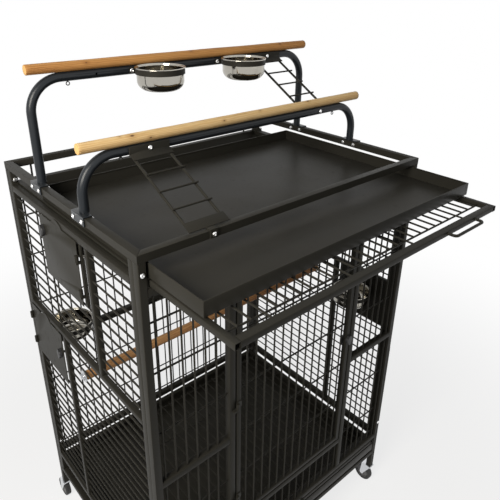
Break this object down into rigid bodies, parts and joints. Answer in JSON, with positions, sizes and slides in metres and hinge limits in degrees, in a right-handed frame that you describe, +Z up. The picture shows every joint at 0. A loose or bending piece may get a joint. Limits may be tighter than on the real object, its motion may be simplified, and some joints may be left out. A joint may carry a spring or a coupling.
{
  "type": "bird cage",
  "caption": "Tall barred bird cage on castors with a pull-out roof tray and grille, feeder doors and a play top of arches, perches, ladders and bowls.",
  "frame": {"origin": "on the floor, under the middle of the cage's square posts", "axes": "+X to the right seen from the front door, +Y towards the back, +Z up"},
  "size_m": [1.0254, 1.1145, 1.727],
  "materials": {
    "powder_coat": "satin anthracite powder coat with a fine texture",
    "play_perch_wood": "turned and oiled, with small knots",
    "inner_perch_wood": "turned hardwood dowel",
    "bolt_steel": "bright zinc plating",
    "stainless": "mirror polished stainless steel",
    "castor_steel": "pressed and zinc plated",
    "wheel_rubber": "matt",
    "socket_plastic": "moulded"
  },
  "bodies": {
    "cage": {"post_front_left": "powder_coat", "post_front_right": "powder_coat", "post_rear_left": "powder_coat", "post_rear_right": "powder_coat", "base_frame": "powder_coat", "top_frame": "powder_coat", "side_panel_left": "powder_coat", "side_panel_right": "powder_coat", "side_bars_left": "powder_coat", "side_bars_right": "powder_coat", "back_panel": "powder_coat", "back_bars": "powder_coat", "front_panel": "powder_coat", "front_bars": "powder_coat", "tray_runners": "powder_coat", "front_arch": "powder_coat", "rear_arch": "powder_coat", "front_perch": "play_perch_wood", "rear_perch": "play_perch_wood", "front_ladder": "powder_coat", "rear_ladder": "powder_coat", "bowl_rings": "powder_coat", "arch_bolts": "bolt_steel", "frame_bolts": "bolt_steel", "toy_hooks": "powder_coat", "feeder_hinges": "powder_coat", "door_hinges": "powder_coat", "inner_perch": "inner_perch_wood", "perch_fixings": "bolt_steel", "caster_sockets": "socket_plastic"},
    "play_tray": {"play_tray": "powder_coat"},
    "roof_grille": {"roof_grille": "powder_coat", "grille_handle": "powder_coat"},
    "front_door": {"front_door": "powder_coat", "front_door_bars": "powder_coat"},
    "door_latch": {"door_latch": "powder_coat"},
    "floor_tray": {"floor_tray": "powder_coat"},
    "floor_grille": {"floor_grille": "powder_coat"},
    "play_bowl_left": {"play_bowl_left": "stainless"},
    "play_bowl_right": {"play_bowl_right": "stainless"},
    "feeder_door_left_upper": {"feeder_door_left_upper": "powder_coat"},
    "feeder_latch_left_upper": {"feeder_latch_left_upper": "powder_coat"},
    "feeder_bowl_left_upper": {"feeder_bowl_left_upper": "stainless"},
    "feeder_door_left_lower": {"feeder_door_left_lower": "powder_coat"},
    "feeder_latch_left_lower": {"feeder_latch_left_lower": "powder_coat"},
    "feeder_bowl_left_lower": {"feeder_bowl_left_lower": "stainless"},
    "feeder_door_right_upper": {"feeder_door_right_upper": "powder_coat"},
    "feeder_latch_right_upper": {"feeder_latch_right_upper": "powder_coat"},
    "feeder_bowl_right_upper": {"feeder_bowl_right_upper": "stainless"},
    "feeder_door_right_lower": {"feeder_door_right_lower": "powder_coat"},
    "feeder_latch_right_lower": {"feeder_latch_right_lower": "powder_coat"},
    "feeder_bowl_right_lower": {"feeder_bowl_right_lower": "stainless"},
    "caster_front_left": {"caster_front_left": "castor_steel"},
    "wheel_front_left": {"wheel_front_left": "wheel_rubber"},
    "caster_front_right": {"caster_front_right": "castor_steel"},
    "wheel_front_right": {"wheel_front_right": "wheel_rubber"},
    "caster_rear_left": {"caster_rear_left": "castor_steel"},
    "wheel_rear_left": {"wheel_rear_left": "wheel_rubber"},
    "caster_rear_right": {"caster_rear_right": "castor_steel"},
    "wheel_rear_right": {"wheel_rear_right": "wheel_rubber"}
  },
  "joints": [
    {"name": "play_tray_slide", "type": "slide", "parent": "cage", "child": "play_tray", "axis": [0, -1, 0], "range_m": [-0.184, 0.3]},
    {"name": "roof_grille_slide", "type": "slide", "parent": "cage", "child": "roof_grille", "axis": [0, -1, 0], "range_m": [-0.272, 0.3]},
    {"name": "floor_tray_slide", "type": "slide", "parent": "cage", "child": "floor_tray", "axis": [0, -1, 0], "range_m": [0, 0.35]},
    {"name": "floor_grille_slide", "type": "slide", "parent": "cage", "child": "floor_grille", "axis": [0, -1, 0], "range_m": [0, 0.35]},
    {"name": "front_door_hinge", "type": "hinge", "parent": "cage", "child": "front_door", "pos_m": [-0.2405, -0.3882, 0.86], "axis": [0, 0, -1], "range_deg": [0, 170]},
    {"name": "door_latch_turn", "type": "hinge", "parent": "front_door", "child": "door_latch", "pos_m": [0.2305, -0.382, 0.86], "axis": [0, -1, 0], "range_deg": [0, 90]},
    {"name": "feeder_door_left_upper_hinge", "type": "hinge", "parent": "cage", "child": "feeder_door_left_upper", "pos_m": [-0.5064, -0.09, 1.2435], "axis": [0, 0, 1], "range_deg": [0, 165]},
    {"name": "feeder_door_left_lower_hinge", "type": "hinge", "parent": "cage", "child": "feeder_door_left_lower", "pos_m": [-0.5064, 0.357, 0.8485], "axis": [0, 0, -1], "range_deg": [0, 165]},
    {"name": "feeder_door_right_upper_hinge", "type": "hinge", "parent": "cage", "child": "feeder_door_right_upper", "pos_m": [0.5064, 0.09, 1.2435], "axis": [0, 0, 1], "range_deg": [0, 165]},
    {"name": "feeder_door_right_lower_hinge", "type": "hinge", "parent": "cage", "child": "feeder_door_right_lower", "pos_m": [0.5064, -0.357, 0.8485], "axis": [0, 0, -1], "range_deg": [0, 165]},
    {"name": "feeder_latch_left_upper_turn", "type": "hinge", "parent": "feeder_door_left_upper", "child": "feeder_latch_left_upper", "pos_m": [-0.5024, 0.123, 1.292], "axis": [1, 0, 0], "range_deg": [0, 90]},
    {"name": "feeder_latch_left_lower_turn", "type": "hinge", "parent": "feeder_door_left_lower", "child": "feeder_latch_left_lower", "pos_m": [-0.5024, 0.144, 0.865], "axis": [-1, 0, 0], "range_deg": [0, 90]},
    {"name": "feeder_latch_right_upper_turn", "type": "hinge", "parent": "feeder_door_right_upper", "child": "feeder_latch_right_upper", "pos_m": [0.5024, -0.123, 1.292], "axis": [-1, 0, 0], "range_deg": [0, 90]},
    {"name": "feeder_latch_right_lower_turn", "type": "hinge", "parent": "feeder_door_right_lower", "child": "feeder_latch_right_lower", "pos_m": [0.5024, -0.144, 0.865], "axis": [1, 0, 0], "range_deg": [0, 90]},
    {"name": "feeder_bowl_left_upper_lift", "type": "slide", "parent": "feeder_door_left_upper", "child": "feeder_bowl_left_upper", "axis": [0, 0, 1], "range_m": [0, 0.035]},
    {"name": "feeder_bowl_left_lower_lift", "type": "slide", "parent": "feeder_door_left_lower", "child": "feeder_bowl_left_lower", "axis": [0, 0, 1], "range_m": [0, 0.035]},
    {"name": "feeder_bowl_right_upper_lift", "type": "slide", "parent": "feeder_door_right_upper", "child": "feeder_bowl_right_upper", "axis": [0, 0, 1], "range_m": [0, 0.035]},
    {"name": "feeder_bowl_right_lower_lift", "type": "slide", "parent": "feeder_door_right_lower", "child": "feeder_bowl_right_lower", "axis": [0, 0, 1], "range_m": [0, 0.035]},
    {"name": "play_bowl_left_lift", "type": "slide", "parent": "cage", "child": "play_bowl_left", "axis": [0, 0, 1], "range_m": [0, 0.08]},
    {"name": "play_bowl_right_lift", "type": "slide", "parent": "cage", "child": "play_bowl_right", "axis": [0, 0, 1], "range_m": [0, 0.08]},
    {"name": "caster_front_left_swivel", "type": "hinge", "parent": "cage", "child": "caster_front_left", "pos_m": [-0.49, -0.372, 0.09], "axis": [0, 0, 1], "continuous": true},
    {"name": "wheel_front_left_spin", "type": "hinge", "parent": "caster_front_left", "child": "wheel_front_left", "pos_m": [-0.49, -0.348, 0.0375], "axis": [1, 0, 0], "continuous": true},
    {"name": "caster_front_right_swivel", "type": "hinge", "parent": "cage", "child": "caster_front_right", "pos_m": [0.49, -0.372, 0.09], "axis": [0, 0, 1], "continuous": true},
    {"name": "wheel_front_right_spin", "type": "hinge", "parent": "caster_front_right", "child": "wheel_front_right", "pos_m": [0.49, -0.348, 0.0375], "axis": [1, 0, 0], "continuous": true},
    {"name": "caster_rear_left_swivel", "type": "hinge", "parent": "cage", "child": "caster_rear_left", "pos_m": [-0.49, 0.372, 0.09], "axis": [0, 0, 1], "continuous": true},
    {"name": "wheel_rear_left_spin", "type": "hinge", "parent": "caster_rear_left", "child": "wheel_rear_left", "pos_m": [-0.49, 0.396, 0.0375], "axis": [1, 0, 0], "continuous": true},
    {"name": "caster_rear_right_swivel", "type": "hinge", "parent": "cage", "child": "caster_rear_right", "pos_m": [0.49, 0.372, 0.09], "axis": [0, 0, 1], "continuous": true},
    {"name": "wheel_rear_right_spin", "type": "hinge", "parent": "caster_rear_right", "child": "wheel_rear_right", "pos_m": [0.49, 0.396, 0.0375], "axis": [1, 0, 0], "continuous": true}
  ]
}
